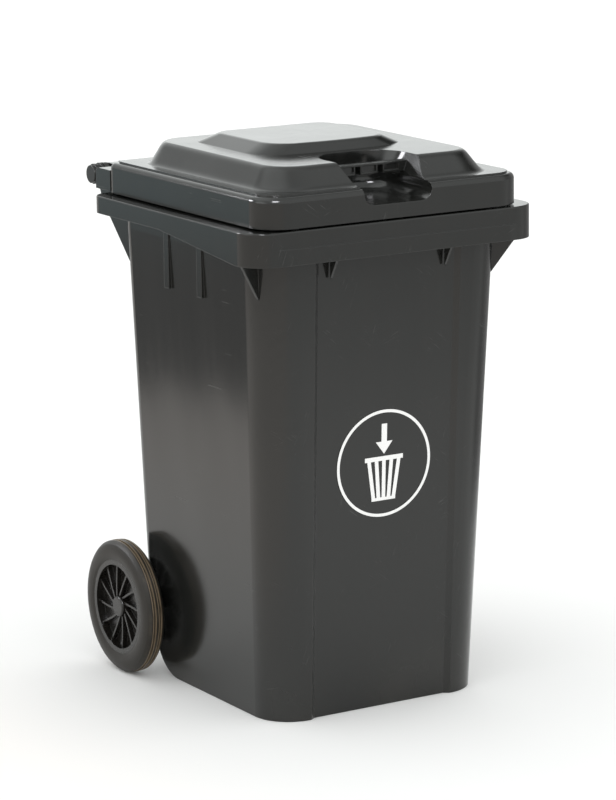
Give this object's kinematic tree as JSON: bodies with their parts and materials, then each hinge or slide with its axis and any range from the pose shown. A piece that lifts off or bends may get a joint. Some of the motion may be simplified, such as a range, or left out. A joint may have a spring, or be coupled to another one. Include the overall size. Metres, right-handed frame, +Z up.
{
  "type": "two-wheel waste bin",
  "caption": "Tall tapered plastic waste bin with a rear axle and wheels, and a rear-hinged raised lid with a hand recess in its front edge.",
  "frame": {"origin": "on the floor, at the middle of the overall footprint", "axes": "+Z up; +X to the right seen from the front; +Y from the front with the hand recess to the wheels and the lid hinge"},
  "size_m": [0.4768, 0.537, 0.8115],
  "materials": {
    "bin_plastic": "moulded polyethylene, glossy, dark grey",
    "wheel_plastic": "moulded black plastic",
    "pin_plastic": "moulded black plastic",
    "bush_plastic": "natural nylon",
    "tyre": "solid rubber, dusty grooves",
    "rubber": "soft black rubber",
    "zinc_steel": "zinc plated",
    "emblem": "printed film, white symbol on the bin colour"
  },
  "bodies": {
    "bin": {"bin_body": "bin_plastic", "axle": "zinc_steel", "front_emblem": "emblem", "axle_spacer_left": "wheel_plastic", "axle_spacer_right": "wheel_plastic", "axle_washer_left": "zinc_steel", "axle_washer_right": "zinc_steel", "push_nut_left": "zinc_steel", "push_nut_right": "zinc_steel", "hinge_pin_left": "pin_plastic", "hinge_pin_right": "pin_plastic"},
    "lid": {"lid": "bin_plastic", "lid_buffer_left": "rubber", "lid_buffer_right": "rubber"},
    "wheel_left": {"wheel_left": "wheel_plastic", "tyre_left": "tyre", "wheel_bush_inner_left": "bush_plastic", "wheel_bush_outer_left": "bush_plastic", "hub_cap_left": "wheel_plastic"},
    "wheel_right": {"wheel_right": "wheel_plastic", "tyre_right": "tyre", "wheel_bush_inner_right": "bush_plastic", "wheel_bush_outer_right": "bush_plastic", "hub_cap_right": "wheel_plastic"}
  },
  "joints": [
    {"name": "lid_hinge", "type": "hinge", "parent": "bin", "child": "lid", "pos_m": [0, 0.2525, 0.739], "axis": [-1, 0, 0], "range_deg": [0, 265]},
    {"name": "wheel_spin_left", "type": "hinge", "parent": "bin", "child": "wheel_left", "pos_m": [-0.217, 0.161, 0.1], "axis": [1, 0, 0], "continuous": true},
    {"name": "wheel_spin_right", "type": "hinge", "parent": "bin", "child": "wheel_right", "pos_m": [0.217, 0.161, 0.1], "axis": [1, 0, 0], "continuous": true}
  ]
}
